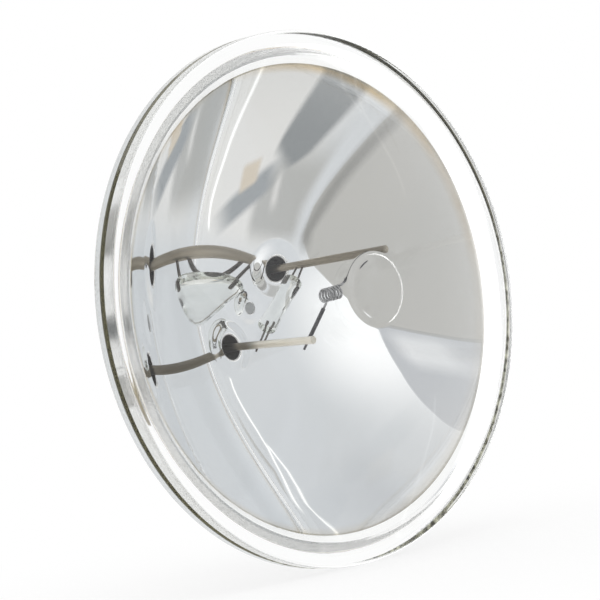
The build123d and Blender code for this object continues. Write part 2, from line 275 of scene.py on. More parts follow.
def pierced_bowl(outline, front, back, lane):
    """Points and faces of an outline turned about the axis, with rows round each hole in place of a cell.

    front and back are the first rows of the cell on either side. A lane row is (reach, share, height): its
    points lie at that reach from the hole's middle, moved by that share towards the cell's edge, at a height
    that follows from their distances from the axis and from the hole's middle. Strips that lie on the axis
    are left out.
    """
    turn = np.linspace(0, 2 * np.pi, TURN_STEPS, endpoint=False)
    grid = in_frame(outline[:, :1], turn[None] + POST_ANGLE, outline[:, 1:]).reshape(-1, 3)
    faces = grid_faces(len(outline), TURN_STEPS, closed_rows=True, closed_columns=True)
    on_axis = (outline[:, :1] == 0) & (np.roll(outline[:, :1], -1, axis=0) == 0)
    row = np.arange(len(outline))[:, None]
    in_rows = ((row >= front) & (row < front + CELL_ROWS)) | ((row >= back) & (row < back + CELL_ROWS))
    step = np.arange(TURN_STEPS)[None]
    from_hole = np.minimum(step % (TURN_STEPS // 2), TURN_STEPS // 2 - 1 - step % (TURN_STEPS // 2))
    keep = ~(in_rows & (from_hole < CELL_HALF_STEPS)) & ~on_axis
    all_points = [grid]
    all_faces = [faces[keep]]

    swing = turn[1] * np.arange(-CELL_HALF_STEPS, CELL_HALF_STEPS + 1)
    edge_radius = np.concatenate(
        [
            np.full(len(swing), CELL_INNER),
            CELL_RADII[1:],
            np.full(len(swing) - 1, CELL_OUTER),
            CELL_RADII[-2:0:-1],
        ]
    )
    edge_angle = np.concatenate(
        [swing, np.full(CELL_ROWS, swing[-1]), swing[-2::-1], np.full(CELL_ROWS - 1, swing[0])]
    )
    edge = np.stack([edge_radius * np.cos(edge_angle), edge_radius * np.sin(edge_angle)], axis=-1)
    middle = np.array([POST_OFFSET, 0.0])
    outwards = (edge - middle) / np.linalg.norm(edge - middle, axis=1)[:, None]
    rows = []
    for reach, share, height in lane:
        plan = (middle + outwards * reach) * (1 - share) + edge * share
        far = np.linalg.norm(plan, axis=1)
        near = np.linalg.norm(plan - middle, axis=1)
        rows.append((far, np.arctan2(plan[:, 1], plan[:, 0]), height(far, near) + 0 * far))
    far, angle, forward = (np.stack(part) for part in zip(*rows))
    lane_faces = grid_faces(len(lane), len(edge), closed_columns=True).reshape(-1, 4)
    for half_turn in (0, math.pi):
        all_faces.append(lane_faces + sum(map(len, all_points)))
        all_points.append(in_frame(far, angle + POST_ANGLE + half_turn, forward).reshape(-1, 3))
    return np.concatenate(all_points), np.concatenate(all_faces)


def bowl_radii(inner, outer, steps):
    """Radii of the rows of a bowl from its bore to its mouth, with the rows of the cells among them."""
    heart = np.linspace(inner, CELL_INNER, HEART_STEPS)[:-1]
    return np.concatenate([heart, CELL_RADII, np.linspace(CELL_OUTER, outer, steps)[1:]])


def bowl_inside():
    """Inside of the bowl, from the bore to the mouth: the parabola, with the swell round the bore."""
    radius = bowl_radii(BORE_RADIUS, MOUTH_RADIUS, BOWL_STEPS)
    return np.stack([radius, bowl_height(radius) + bore_lip(radius)], axis=-1)


def bowl_behind():
    """Back of the bowl, from the neck in to the heart: the parabola, moved back by the wall."""
    slope = np.linspace(NECK_RADIUS - NECK_ROOM, CELL_OUTER, BACK_STEPS)[:-1]
    radius = np.concatenate([slope, CELL_RADII[::-1]])
    return np.stack([radius, bowl_height(radius) - BOWL_WALL], axis=-1)


def lens_inside():
    """Inside of the lens, from the seal to the axis: a sphere."""
    radius = np.linspace(SEAL_INSIDE, 0, LENS_INSIDE_STEPS)
    return np.stack([radius, dome_height(radius, DOME_INSIDE)], axis=-1)


def lens_and_rim(neck_end):
    """Outside, from the axis to the neck: the button and the dome, which are spheres, and the flanges."""
    button_edge = BUTTON_RADIUS - BUTTON_SLOPE
    on_cap = np.linspace(0, button_edge - BUTTON_ROOM, CAP_STEPS)
    cap = np.stack([on_cap, dome_height(on_cap, DOME_RADIUS) + BUTTON_HEIGHT], axis=-1)
    button_side = [
        (button_edge, dome_height(button_edge, DOME_RADIUS) + BUTTON_HEIGHT, BUTTON_ROUND),
        (BUTTON_RADIUS, dome_height(BUTTON_RADIUS, DOME_RADIUS), BUTTON_ROUND),
    ]
    on_dome = np.linspace(BUTTON_RADIUS + BUTTON_ROOM, DOME_BASE - FOOT_ROOM, DOME_STEPS)
    dome = np.stack([on_dome, dome_height(on_dome, DOME_RADIUS)], axis=-1)
    rim = [
        (DOME_BASE, LENS_FLANGE, DOME_FOOT_ROUND),
        (RIM_RADIUS, LENS_FLANGE, RIM_ROUND),
        (RIM_RADIUS, SEAM_WIDTH / 2, 0),
        (RIM_RADIUS - SEAM_DEPTH, 0, 0),
        (RIM_RADIUS, -SEAM_WIDTH / 2, 0),
        (RIM_RADIUS, -BOWL_FLANGE, RIM_ROUND),
        (NECK_RADIUS, -BOWL_FLANGE, NECK_ROUND),
    ]
    return np.concatenate(
        [cap, rounded(cap[-1], button_side, dome[0]), dome, rounded(dome[-1], rim, neck_end)]
    )


def stub():
    """Exhaust stub, from the edge of its pad round its melted end, which is a parabola, to its bore."""
    pad = [
        (PAD_RADIUS, bowl_height(PAD_RADIUS) - BOWL_WALL),
        (PAD_RADIUS, BOSS_FACE),
        (TUBE_RADIUS, BOSS_FACE),
    ]
    tip = BOSS_FACE - TUBE_LENGTH
    melt = np.linspace(0, 1, MELT_STEPS)
    melted = np.stack(
        [TUBE_RADIUS * (1 - melt**2), tip + (TUBE_LENGTH - TUBE_STRAIGHT) * (1 - melt) ** 2],
        axis=-1,
    )
    bore_end = tip + TUBE_TIP_WALL
    bore = [(0.0, bore_end), (BORE_RADIUS, bore_end + BORE_RADIUS)]
    return np.concatenate([pad, melted, bore])


def make_envelope(material):
    """Lens, reflector and exhaust stub, fused as they are in the lamp: one outline turned about the axis.

    The loop runs out along the bowl's inside, in along that of the lens, out over the lens and the rim, in
    along the back of the bowl, round the stub and up its bore. A lane takes its place at each post hole: in
    over the swell, through the hole, and out over the boss and the back.
    """
    behind = bowl_behind()
    outlines = [bowl_inside(), lens_inside(), lens_and_rim(behind[0]), behind, stub()]
    front = HEART_STEPS - 1
    back = sum(map(len, outlines[:-1])) - len(CELL_RADII)
    swell_rows = [
        (HOLE_RADIUS, share, lambda far, near: bowl_height(far) + hole_lip(near))
        for share in np.linspace(1, 0, HOLE_ROWS) ** ROW_CROWDING
    ]
    boss_rows = [(reach, 0, lambda far, near: BOSS_FACE) for reach in (HOLE_RADIUS, BOSS_RADIUS)]
    back_rows = [
        (BOSS_RADIUS, share, lambda far, near: bowl_height(far) - BOWL_WALL)
        for share in np.linspace(0, 1, BOSS_ROWS)
    ]
    lane = swell_rows + boss_rows + back_rows
    points, faces = pierced_bowl(np.concatenate(outlines), front, back, lane)
    replaced = ["lens", "reflector", "exhaust_tube"]
    piece_from("glass_envelope", points, faces, "lamp", material, replaced)


def make_film(material):
    """Mirror film: the bowl's parabola twice, a film's thickness apart, with rows round each bare ring."""
    radius = bowl_radii(BORE_RADIUS + BARE_RING, FILM_EDGE, FILM_STEPS)
    swollen = bowl_height(radius) + bore_lip(radius)
    film_front = FILM_LIFT + FILM_THICKNESS
    outline = np.concatenate(
        [
            np.stack([radius, swollen + film_front], axis=-1),
            np.stack([radius, swollen + FILM_LIFT], axis=-1)[::-1],
        ]
    )
    front = HEART_STEPS - 1
    back = len(outline) - front - len(CELL_RADII)
    bare = HOLE_RADIUS + BARE_RING
    shares = np.linspace(1, 0, FILM_HOLE_ROWS) ** ROW_CROWDING
    lane = [
        (bare, share, lambda far, near, lift=lift: bowl_height(far) + hole_lip(near) + lift)
        for lift, row_shares in ((film_front, shares), (FILM_LIFT, shares[::-1]))
        for share in row_shares
    ]
    points, faces = pierced_bowl(outline, front, back, lane)
    piece_from("mirror_film", points, faces, "lamp", material, ["mirror_coating"])


def in_post_plane(along, forward, across):
    """Points of the frame, in metres, from distances along the posts' line, forward and off their plane."""
    x = along * math.cos(POST_ANGLE) - across * math.sin(POST_ANGLE)
    z = along * math.sin(POST_ANGLE) + across * math.cos(POST_ANGLE)
    return np.stack(np.broadcast_arrays(x, -forward, z), axis=-1) * MM


def make_bead(material):
    """Glass bead of the bridge: a circle carried along a straight line, wider towards its blunt ends.

    Its radius is the waist plus the swell times the square of the share of the half length, times the fourth
    root of one less that share to a high power, the bluntness.
    """
    share = np.sin(np.linspace(-np.pi / 2, np.pi / 2, BEAD_ROWS))[:, None]
    turn = np.linspace(0, 2 * np.pi, BEAD_TURN_STEPS, endpoint=False)[None]
    middle = (BEAD_ENDS[0] + BEAD_ENDS[1]) / 2
    half = (BEAD_ENDS[1] - BEAD_ENDS[0]) / 2
    radius = (BEAD_WAIST + BEAD_SWELL * share**2) * np.clip(1 - share**BEAD_BLUNTNESS, 0, 1) ** 0.25
    points = in_post_plane(
        middle + half * share, BEAD_FORWARD + radius * np.cos(turn), BEAD_ACROSS + radius * np.sin(turn)
    )
    faces = grid_faces(share.size, turn.size, closed_columns=True).reshape(-1, 4)
    piece_from("bridge_bead", points.reshape(-1, 3), faces, "lamp", material)


def make_bridge_wires(material):
    """Wires of the bridge, two from each post into the bead: a circle carried along a curve.

    The curve is the parabola that leaves the first of three points towards the second and comes into the
    third from it. The circle stays square to the line of the posts. Its radius is the wire's times the
    square root of one less a high power, the bluntness, of the share of the half length, which closes the
    ends.
    """
    along = np.sin(np.linspace(0, np.pi / 2, WIRE_ROWS))[:, None] ** 2
    turn = np.linspace(0, 2 * np.pi, WIRE_TURN_STEPS, endpoint=False)[None]
    ring = WIRE_RADIUS * np.clip(1 - (2 * along - 1) ** WIRE_BLUNTNESS, 0, 1) ** 0.5
    strip = grid_faces(along.size, turn.size, closed_columns=True).reshape(-1, 4)
    points, faces = [], []
    for start, bend, end in np.array(BRIDGE_WIRES):
        line = (1 - along) ** 2 * start + 2 * along * (1 - along) * bend + along**2 * end
        forward = line[:, 1:2] + ring * np.cos(turn)
        across = line[:, 2:] + ring * np.sin(turn)
        tube = in_post_plane(line[:, :1], forward, across)
        faces.append(strip + sum(map(len, points)))
        points.append(tube.reshape(-1, 3))
    piece_from("bridge_wires", np.concatenate(points), np.concatenate(faces), "lamp", material)


# What the finishes share. The span of the noise is the part of it that a mottle stretches.
NOISE_SPAN = (0.3, 0.7)
BUMP_DEPTH = 0.02
GLASS_IOR = 1.474

# Places of the sockets that a mix node uses for colours
MIX_FACTOR = 0
MIX_COLOURS = (6, 7)
MIX_RESULT = 2

# Where each finish lies. It fades in from the first place given to the second, and a side is the direction
# from the axis in which it is strongest.
STIPPLE_RADII = (RIM_RADIUS - 0.5, RIM_RADIUS - 0.2)
STIPPLE_FORWARDS = (-SEAM_WIDTH / 2, -SEAM_WIDTH / 2 - 0.1)
STIPPLE_HEIGHT = 8.0
STRIAE_RADII = (DOME_BASE - 4.0, DOME_BASE - 2.0)
STRIAE_SCALE = 1.7
STRIAE_HEIGHT = 3.0

SEAM_TINT_RADII = (RIM_RADIUS - SEAM_DEPTH - 0.3, RIM_RADIUS - SEAM_DEPTH)
SEAM_TINT_BEHIND = 0.2
SEAM_TINT_REACHES = (0.75, 0.65)
CHIPPED_SIDE = (0.6, 0, -0.8)
CHIPPED_PLACES = (0.35 * RIM_RADIUS, 0.8 * RIM_RADIUS)

# Where the exhaust bore's painted shade lies: its glass is coloured grey there, and is also rough
BORE_SHADE_RADII = (BORE_RADIUS + 0.12, BORE_RADIUS + 0.06)
BORE_SHADE_FORWARDS = (VERTEX + 1.0, VERTEX + 0.8)
SATIN_DEPTHS = (-0.6 * BOWL_WALL, -0.8 * BOWL_WALL)
SATIN_FORWARDS = (-BOWL_FLANGE - 0.3, -BOWL_FLANGE - 1.5)

STRAW_RADII = (FILM_EDGE - 1.9, FILM_EDGE - 0.3)
STRAW_SIDE = (0.6, 0, 0.8)
STRAW_PLACES = (0.55 * FILM_EDGE, 0.95 * FILM_EDGE)
STRAW_SHARES = (0.35, 1.4)
THIN_FILM_RADII = (FILM_EDGE - 0.5, FILM_EDGE - 0.1)
FILM_BACK_DEPTHS = (FILM_LIFT + 0.7 * FILM_THICKNESS, FILM_LIFT + 0.3 * FILM_THICKNESS)
FILM_BACK_RADII = (FILM_EDGE - 4.0, FILM_EDGE - 9.0)

POST_GRAIN = (900, 60, 900)
# Painted shade on the lower post: it darkens from the first forward distance to the second, towards its foot
POST_SHADE_FORWARDS = (VERTEX + 13.0, VERTEX + 7.0)
OXIDE_REACHES = (HOLE_RADIUS - 0.2, HOLE_RADIUS - 0.3)
OXIDE_FORWARDS = (BOSS_FACE - 5.8, BOSS_FACE - 5.7)
LEG_RADII = (3.4, 4.2)


def new_material(name):
    """A node material, with its tree and its shader."""
    material = bpy.data.materials.new(name)
    material.use_nodes = True
    tree = material.node_tree
    return material, tree, tree.nodes["Principled BSDF"]


def make_mottle_group():
    """Mottle: cloudy noise on the piece's own coordinates, scaled on each axis, from Low to High."""
    tree = bpy.data.node_groups.new("mottle", "ShaderNodeTree")
    for name, kind, value in (
        ("Scale", "NodeSocketVector", (1, 1, 1)),
        ("Low", "NodeSocketFloat", 0.0),
        ("High", "NodeSocketFloat", 1.0),
        ("Detail", "NodeSocketFloat", 3.0),
    ):
        tree.interface.new_socket(name, in_out="INPUT", socket_type=kind).default_value = value
    tree.interface.new_socket("Value", in_out="OUTPUT", socket_type="NodeSocketFloat")
    inputs = tree.nodes.new("NodeGroupInput")
    outputs = tree.nodes.new("NodeGroupOutput")
    place = tree.nodes.new("ShaderNodeTexCoord")
    stretch = tree.nodes.new("ShaderNodeVectorMath")
    stretch.operation = "MULTIPLY"
    noise = tree.nodes.new("ShaderNodeTexNoise")
    noise.inputs["Scale"].default_value = 1.0
    span = tree.nodes.new("ShaderNodeMapRange")
    span.inputs["From Min"].default_value = NOISE_SPAN[0]
    span.inputs["From Max"].default_value = NOISE_SPAN[1]
    tree.links.new(place.outputs["Object"], stretch.inputs[0])
    tree.links.new(inputs.outputs["Scale"], stretch.inputs[1])
    tree.links.new(stretch.outputs["Vector"], noise.inputs["Vector"])
    tree.links.new(inputs.outputs["Detail"], noise.inputs["Detail"])
    tree.links.new(noise.outputs["Fac"], span.inputs["Value"])
    tree.links.new(inputs.outputs["Low"], span.inputs["To Min"])
    tree.links.new(inputs.outputs["High"], span.inputs["To Max"])
    tree.links.new(span.outputs["Result"], outputs.inputs["Value"])
    return tree


def mottle(tree, scale, low, high, detail=3.0):
    """A mottle group in a material, with its own values."""
    group = tree.nodes.new("ShaderNodeGroup")
    group.node_tree = MOTTLE
    group.inputs["Scale"].default_value = scale
    group.inputs["Low"].default_value = low
    group.inputs["High"].default_value = high
    group.inputs["Detail"].default_value = detail
    return group.outputs["Value"]


def mapped(tree, value, low, high, start=0.0, end=1.0):
    """A value between two limits, smoothly mapped to another span."""
    span = tree.nodes.new("ShaderNodeMapRange")
    span.interpolation_type = "SMOOTHSTEP"
    span.inputs["From Min"].default_value = low
    span.inputs["From Max"].default_value = high
    span.inputs["To Min"].default_value = start
    span.inputs["To Max"].default_value = end
    tree.links.new(value, span.inputs["Value"])
    return span.outputs["Result"]


def combined(tree, operation, first, second=0.0):
    """Result of a maths node. Either value may be a socket or a number, and some need only the first."""
    node = tree.nodes.new("ShaderNodeMath")
    node.operation = operation
    for socket, value in zip(node.inputs, (first, second)):
        if isinstance(value, bpy.types.NodeSocket):
            tree.links.new(value, socket)
        else:
            socket.default_value = value
    return node.outputs[0]


def make_place_group():
    """Place: where a point lies on the lamp, in millimetres, on the piece's own coordinates.

    Radius is its distance from the axis, Forward its distance out from the seam, and From Post its distance
    from the axis of the nearer post: the point is first turned so that both posts lie along one line.
    """
    tree = bpy.data.node_groups.new("place_on_lamp", "ShaderNodeTree")
    for name in ("Radius", "Forward", "From Post"):
        tree.interface.new_socket(name, in_out="OUTPUT", socket_type="NodeSocketFloat")
    outputs = tree.nodes.new("NodeGroupOutput")
    place = tree.nodes.new("ShaderNodeTexCoord")
    size = tree.nodes.new("ShaderNodeVectorMath")
    size.operation = "SCALE"
    size.inputs["Scale"].default_value = 1 / MM
    tree.links.new(place.outputs["Object"], size.inputs[0])
    dots = []
    for along in (
        (math.cos(POST_ANGLE), 0, math.sin(POST_ANGLE)),
        (-math.sin(POST_ANGLE), 0, math.cos(POST_ANGLE)),
        (0, -1, 0),
    ):
        dot = tree.nodes.new("ShaderNodeVectorMath")
        dot.operation = "DOT_PRODUCT"
        dot.inputs[1].default_value = along
        tree.links.new(size.outputs[0], dot.inputs[0])
        dots.append(dot.outputs["Value"])
    line, across, forward = dots
    across_squared = combined(tree, "MULTIPLY", across, across)
    past_post = combined(tree, "SUBTRACT", combined(tree, "ABSOLUTE", line), POST_OFFSET)
    for name, part in (("Radius", line), ("From Post", past_post)):
        total = combined(tree, "ADD", combined(tree, "MULTIPLY", part, part), across_squared)
        tree.links.new(combined(tree, "SQRT", total), outputs.inputs[name])
    tree.links.new(forward, outputs.inputs["Forward"])
    return tree


def place_on_lamp(tree):
    """The place group in a material."""
    group = tree.nodes.new("ShaderNodeGroup")
    group.node_tree = PLACE
    return group.outputs


def within(tree, place, radii, forwards):
    """Mask of a finish that needs both its radius and its forward distance."""
    at_radius = mapped(tree, place["Radius"], *radii)
    return combined(tree, "MULTIPLY", at_radius, mapped(tree, place["Forward"], *forwards))


def above_bowl(tree, place):
    """How far forward of the bowl's inner parabola a point lies, in millimetres."""
    squared = combined(tree, "MULTIPLY", place["Radius"], place["Radius"])
    curve = combined(tree, "ADD", combined(tree, "DIVIDE", squared, 4 * FOCAL_LENGTH), VERTEX)
    return combined(tree, "SUBTRACT", place["Forward"], curve)


def rings(tree, place, scale):
    """Noise that is the same all round the axis: it reads only the radius and the forward distance."""
    spot = tree.nodes.new("ShaderNodeCombineXYZ")
    tree.links.new(place["Radius"], spot.inputs["X"])
    tree.links.new(place["Forward"], spot.inputs["Y"])
    noise = tree.nodes.new("ShaderNodeTexNoise")
    noise.inputs["Scale"].default_value = scale
    tree.links.new(spot.outputs["Vector"], noise.inputs["Vector"])
    return noise.outputs["Fac"]


def towards(tree, direction):
    """How far a point lies out in a direction, in millimetres, on the piece's own coordinates."""
    place = tree.nodes.new("ShaderNodeTexCoord")
    dot = tree.nodes.new("ShaderNodeVectorMath")
    dot.operation = "DOT_PRODUCT"
    dot.inputs[1].default_value = [part / MM for part in direction]
    tree.links.new(place.outputs["Object"], dot.inputs[0])
    return dot.outputs["Value"]


def mixed(tree, factor, first, second):
    """Colour between two, by a factor. Either colour may be a socket or a plain RGB."""
    mix = tree.nodes.new("ShaderNodeMix")
    mix.data_type = "RGBA"
    tree.links.new(factor, mix.inputs[MIX_FACTOR])
    for place, colour in zip(MIX_COLOURS, (first, second)):
        if isinstance(colour, bpy.types.NodeSocket):
            tree.links.new(colour, mix.inputs[place])
        else:
            mix.inputs[place].default_value = (*colour, 1)
    return mix.outputs[MIX_RESULT]


def bump(tree, shader, height, strength=0.2, depth=BUMP_DEPTH):
    """A bump node from a height to the shader's normal. Its depth is in millimetres."""
    node = tree.nodes.new("ShaderNodeBump")
    node.inputs["Strength"].default_value = strength
    node.inputs["Distance"].default_value = depth * MM
    tree.links.new(height, node.inputs["Height"])
    tree.links.new(node.outputs["Normal"], shader.inputs["Normal"])


def absorb(tree, colour, density):
    """Tint in the depth of a glass."""
    volume = tree.nodes.new("ShaderNodeVolumeAbsorption")
    volume.inputs["Color"].default_value = (*colour, 1)
    volume.inputs["Density"].default_value = density
    tree.links.new(volume.outputs["Volume"], tree.nodes["Material Output"].inputs["Volume"])


def make_glass():
    """Clear pressed glass, with faint striae in the rim, a stippled edge behind the seam and a satin back.

    The seam is olive, and pale where it is chipped, and the exhaust bore is grey, which is painted shade.
    """
    material, tree, shader = new_material("clear_pressed_glass")
    shader.inputs["Transmission Weight"].default_value = 1.0
    shader.inputs["IOR"].default_value = GLASS_IOR
    place = place_on_lamp(tree)
    stippled = within(tree, place, STIPPLE_RADII, STIPPLE_FORWARDS)
    from_tint = combined(tree, "ABSOLUTE", combined(tree, "ADD", place["Forward"], SEAM_TINT_BEHIND))
    in_groove = combined(
        tree,
        "MULTIPLY",
        mapped(tree, place["Radius"], *SEAM_TINT_RADII),
        mapped(tree, from_tint, *SEAM_TINT_REACHES),
    )
    cloud = mottle(tree, (60, 60, 60), 0, 1)
    clear = mixed(tree, cloud, (0.998, 0.999, 0.998), (0.99, 0.995, 0.99))
    chipped = combined(
        tree,
        "MULTIPLY",
        mapped(tree, towards(tree, CHIPPED_SIDE), *CHIPPED_PLACES),
        mottle(tree, (600, 600, 600), -0.5, 1.5),
    )
    olive = mixed(tree, chipped, (0.016, 0.014, 0.005), (0.5, 0.5, 0.38))
    seamed = mixed(tree, in_groove, clear, olive)
    # Painted shade: the exhaust bore is coloured grey, as if the shaded back of the lamp showed through it.
    # The same mask roughens the bore.
    in_bore = within(tree, place, BORE_SHADE_RADII, BORE_SHADE_FORWARDS)
    tree.links.new(mixed(tree, in_bore, seamed, (0.27, 0.28, 0.28)), shader.inputs["Base Color"])
    on_back = combined(
        tree,
        "MULTIPLY",
        mapped(tree, above_bowl(tree, place), *SATIN_DEPTHS),
        mapped(tree, place["Forward"], *SATIN_FORWARDS),
    )
    roughness = mottle(tree, (90, 90, 90), 0.0, 0.012)
    for part, finish in (
        (stippled, mottle(tree, (900, 900, 900), 0.03, 0.22)),
        (in_bore, 0.5),
        (on_back, mottle(tree, (200, 200, 200), 0.14, 0.26)),
    ):
        roughness = combined(tree, "MAXIMUM", roughness, combined(tree, "MULTIPLY", part, finish))
    tree.links.new(roughness, shader.inputs["Roughness"])
    grains = mottle(tree, (1400, 1400, 1400), 0, STIPPLE_HEIGHT, 0.0)
    stipple = combined(tree, "MULTIPLY", stippled, grains)
    in_rim = mapped(tree, place["Radius"], *STRIAE_RADII)
    lines = combined(tree, "MULTIPLY", rings(tree, place, STRIAE_SCALE), STRIAE_HEIGHT)
    striae = combined(tree, "MULTIPLY", in_rim, lines)
    relief = combined(tree, "ADD", striae, mottle(tree, (30, 8, 30), 0, 1, 1.0))
    bump(tree, shader, combined(tree, "ADD", stipple, relief), strength=0.25)
    absorb(tree, (0.80, 0.84, 0.76), 1.0)
    return material


def make_bead_glass():
    """Glass of the bridge's bead: clear, faintly cloudy, with a green tint that shows in its depth."""
    material, tree, shader = new_material("green_bead_glass")
    shader.inputs["Transmission Weight"].default_value = 1.0
    shader.inputs["IOR"].default_value = GLASS_IOR
    cloud = mottle(tree, (300, 300, 300), 0, 1)
    tree.links.new(mixed(tree, cloud, (1.0, 1.0, 0.995), (0.98, 0.985, 0.97)), shader.inputs["Base Color"])
    tree.links.new(mottle(tree, (300, 300, 300), 0.02, 0.12), shader.inputs["Roughness"])
    bump(tree, shader, cloud, depth=1.5 * BUMP_DEPTH)
    absorb(tree, (0.80, 0.87, 0.74), 25.0)
    return material


def make_mirror():
    """Bright aluminium film, faintly rippled and cloudy, straw and thin at its edge, dull behind."""
    material, tree, shader = new_material("bright_aluminium_film")
    shader.inputs["Metallic"].default_value = 1.0
    place = place_on_lamp(tree)
    at_edge = mapped(tree, place["Radius"], *STRAW_RADII)
    on_side = mapped(tree, towards(tree, STRAW_SIDE), *STRAW_PLACES, *STRAW_SHARES)
    tinted = combined(tree, "MULTIPLY", at_edge, on_side)
    straw = combined(tree, "MULTIPLY", tinted, mottle(tree, (60, 60, 60), 0.3, 0.9))
    cloud = mottle(tree, (40, 40, 40), 0, 1)
    bright = mixed(tree, cloud, (0.95, 0.955, 0.96), (0.92, 0.93, 0.94))
    straw_edged = mixed(tree, straw, bright, (0.70, 0.53, 0.29))
    thinned = combined(
        tree,
        "MULTIPLY",
        mapped(tree, place["Radius"], *THIN_FILM_RADII),
        mottle(tree, (45, 45, 45), 0.3, 1.0),
    )
    front = mixed(tree, thinned, straw_edged, (0.40, 0.36, 0.26))
    at_back = combined(
        tree,
        "MULTIPLY",
        mapped(tree, above_bowl(tree, place), *FILM_BACK_DEPTHS),
        mapped(tree, place["Radius"], *FILM_BACK_RADII),
    )
    back = mixed(tree, cloud, (0.68, 0.69, 0.70), (0.56, 0.57, 0.59))
    tree.links.new(mixed(tree, at_back, front, back), shader.inputs["Base Color"])
    smooth = mottle(tree, (120, 120, 120), 0.0, 0.03)
    dull = combined(tree, "MULTIPLY", at_back, mottle(tree, (50, 50, 50), 0.08, 0.22))
    tree.links.new(combined(tree, "MAXIMUM", smooth, dull), shader.inputs["Roughness"])
    bump(tree, shader, mottle(tree, (70, 70, 70), 0, 1, 1.0), strength=0.25)
    return material


def make_metal(name, pale, dark, rough, grain):
    """Drawn or plated metal: satin, with a cloudy tone and gloss, whose grain is scaled on each axis."""
    material, tree, shader = new_material(name)
    shader.inputs["Metallic"].default_value = 1.0
    cloud = mottle(tree, grain, 0, 1)
    tree.links.new(mixed(tree, cloud, pale, dark), shader.inputs["Base Color"])
    tree.links.new(mottle(tree, grain, *rough), shader.inputs["Roughness"])
    bump(tree, shader, cloud)
    return material


def make_lower_post():
    """Straw-coloured nickel post, with painted shade: dark brown from its foot up to the bridge."""
    material, tree, shader = new_material("straw_post")
    shader.inputs["Metallic"].default_value = 1.0
    place = place_on_lamp(tree)
    grain = mottle(tree, POST_GRAIN, 0, 1)
    straw = mixed(tree, grain, (0.92, 0.87, 0.77), (0.78, 0.72, 0.60))
    shade_brown = mixed(tree, grain, (0.17, 0.14, 0.095), (0.09, 0.075, 0.05))
    # Painted shade: the post's foot, which the mirror shows, is coloured dark brown, with a mottled edge
    shaded_foot = combined(
        tree,
        "ADD",
        mapped(tree, place["Forward"], *POST_SHADE_FORWARDS),
        mottle(tree, (300, 80, 300), -0.15, 0.15),
    )
    tree.links.new(mixed(tree, shaded_foot, straw, shade_brown), shader.inputs["Base Color"])
    tree.links.new(mottle(tree, POST_GRAIN, 0.25, 0.4), shader.inputs["Roughness"])
    bump(tree, shader, grain)
    return material


def make_ferrule_metal():
    """Nickel-iron ferrule: dull and pale outside, black with oxide inside, which lies nearer to the post."""
    material, tree, shader = new_material("oxidised_ferrule")
    place = place_on_lamp(tree)
    near_post = mapped(tree, place["From Post"], *OXIDE_REACHES)
    inside = combined(tree, "MULTIPLY", near_post, mapped(tree, place["Forward"], *OXIDE_FORWARDS))
    cloud = mottle(tree, (400, 400, 400), 0, 1)
    outside = mixed(tree, cloud, (0.96, 0.95, 0.93), (0.88, 0.87, 0.84))
    oxide = mixed(tree, cloud, (0.035, 0.035, 0.04), (0.015, 0.015, 0.018))
    tree.links.new(mixed(tree, inside, outside, oxide), shader.inputs["Base Color"])
    tree.links.new(mapped(tree, inside, 0, 1, 1, 0), shader.inputs["Metallic"])
    tree.links.new(mottle(tree, (400, 400, 400), 0.4, 0.6), shader.inputs["Roughness"])
    bump(tree, shader, cloud)
    return material


def make_tungsten():
    """Tungsten wire: bright grey in the coil and dark in the legs, which lie further from the axis."""
    material, tree, shader = new_material("grey_tungsten")
    shader.inputs["Metallic"].default_value = 1.0
    place = place_on_lamp(tree)
    cloud = mottle(tree, (2000, 2000, 2000), 0, 1)
    coil = mixed(tree, cloud, (0.55, 0.55, 0.56), (0.34, 0.34, 0.35))
    leg = mixed(tree, cloud, (0.12, 0.12, 0.13), (0.05, 0.05, 0.055))
    in_leg = mapped(tree, place["Radius"], *LEG_RADII)
    tree.links.new(mixed(tree, in_leg, coil, leg), shader.inputs["Base Color"])
    tree.links.new(mottle(tree, (2000, 2000, 2000), 0.3, 0.5), shader.inputs["Roughness"])
    bump(tree, shader, cloud)
    return material


# Studio. Distances are in metres, the camera's sensor in millimetres and the light's power in watts.
CAMERA_AZIMUTH = math.radians(-42.2)
CAMERA_ROLL = math.radians(8.5)
CAMERA_DISTANCE = 0.55
SENSOR_WIDTH = 36
IMAGE_WIDTH = 600
PIXELS_PER_METRE = 4720
SEAM_CENTRE_PIXEL = (316.7, 298.3)
GLASS_BOUNCES = 32
LENS_PASSES = 4
CARD_DISTANCE = 3.0
CARD_STEP = 0.03
CARD_DIVISIONS = 24
GLEAM = (1.3, 1.3, 1.28)
SURROUND_LIGHT = 0.6
FLOOR_RADIUS = 4.0
FLOOR_RINGS = 24
FLOOR_TURN_STEPS = 96
FLOOR_FADE = (0.05, 0.16)
FLOOR_GLOW = (0.84, 1.0)
LIGHT_PLACE = (-0.3, -0.4, 1.2)
LIGHT_SIZE = 1.2
LIGHT_POWER = 8.0


def make_camera():
    """Camera at the photo's angle, rolled about its line of sight, with the seam's middle at its pixel."""
    back = Vector((math.sin(CAMERA_AZIMUTH), -math.cos(CAMERA_AZIMUTH), 0))
    level = Vector((math.cos(CAMERA_AZIMUTH), math.sin(CAMERA_AZIMUTH), 0))
    up = Vector((0, 0, 1))
    right = level * math.cos(CAMERA_ROLL) - up * math.sin(CAMERA_ROLL)
    top = level * math.sin(CAMERA_ROLL) + up * math.cos(CAMERA_ROLL)
    aside = (SEAM_CENTRE_PIXEL[0] - IMAGE_WIDTH / 2) / PIXELS_PER_METRE
    above = (IMAGE_WIDTH / 2 - SEAM_CENTRE_PIXEL[1]) / PIXELS_PER_METRE
    data = bpy.data.cameras.new("camera")
    data.sensor_width = SENSOR_WIDTH
    data.lens = SENSOR_WIDTH * PIXELS_PER_METRE * CAMERA_DISTANCE / IMAGE_WIDTH
    camera = bpy.data.objects.new("camera", data)
    turn = Matrix((right, top, back)).transposed().to_4x4()
    turn.translation = back * CAMERA_DISTANCE - right * aside - top * above
    camera.matrix_world = turn
    bpy.context.scene.collection.objects.link(camera)
    bpy.context.scene.camera = camera


